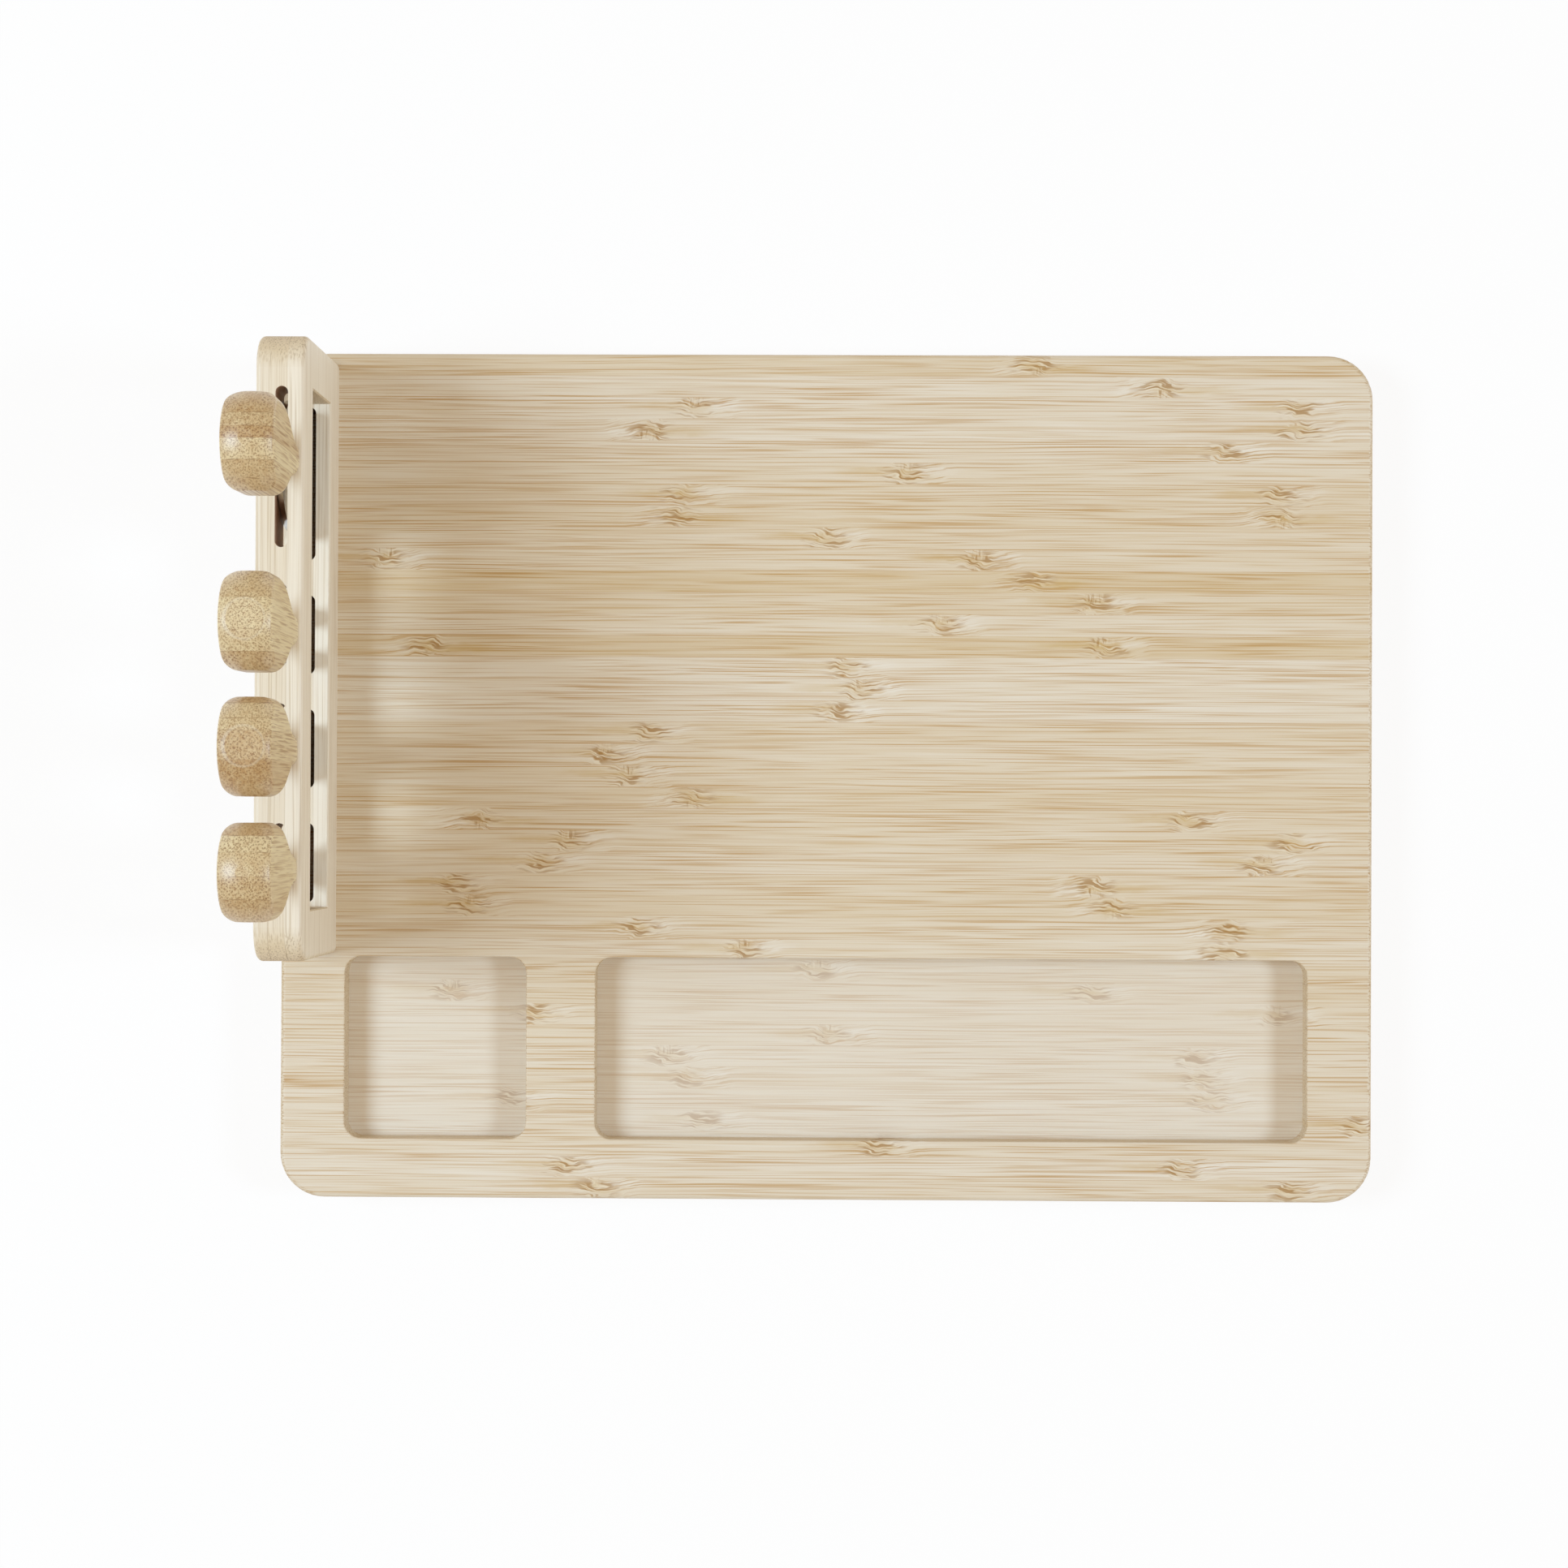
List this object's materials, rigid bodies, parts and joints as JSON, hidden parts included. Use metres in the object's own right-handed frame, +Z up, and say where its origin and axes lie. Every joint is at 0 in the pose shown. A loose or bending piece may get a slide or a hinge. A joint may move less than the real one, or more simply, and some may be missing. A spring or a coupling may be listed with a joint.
{
  "type": "cheese board",
  "caption": "Rectangular bamboo cheese board with routed pockets along one edge and an upright slotted rack holding short cheese knives that lift out.",
  "frame": {"origin": "middle of the board's underside, on the surface that it stands on", "axes": "+X to the right along the bamboo strips, +Y to the far long edge, away from the pockets, +Z up; the rack stands at -X"},
  "size_m": [0.33, 0.256, 0.135],
  "materials": {
    "board_bamboo": "oiled satin",
    "rack_bamboo": "sanded satin",
    "handle_bamboo": "clear lacquer",
    "blade_steel": "polished",
    "screw_steel": "zinc plated"
  },
  "bodies": {
    "board_and_rack": {"board": "board_bamboo", "knife_rack": "rack_bamboo", "rack_screws": "screw_steel"},
    "cleaver": {"cleaver_handle": "handle_bamboo", "cleaver_blade": "blade_steel"},
    "fork": {"fork_handle": "handle_bamboo", "fork_blade": "blade_steel"},
    "plane_knife": {"plane_handle": "handle_bamboo", "plane_blade": "blade_steel"},
    "spade_knife": {"spade_handle": "handle_bamboo", "spade_blade": "blade_steel"}
  },
  "joints": [
    {"name": "cleaver_lift", "type": "slide", "parent": "board_and_rack", "child": "cleaver", "axis": [0, 0, 1], "range_m": [0, 0.075]},
    {"name": "fork_lift", "type": "slide", "parent": "board_and_rack", "child": "fork", "axis": [0, 0, 1], "range_m": [0, 0.075]},
    {"name": "plane_knife_lift", "type": "slide", "parent": "board_and_rack", "child": "plane_knife", "axis": [0, 0, 1], "range_m": [0, 0.075]},
    {"name": "spade_knife_lift", "type": "slide", "parent": "board_and_rack", "child": "spade_knife", "axis": [0, 0, 1], "range_m": [0, 0.075]}
  ]
}
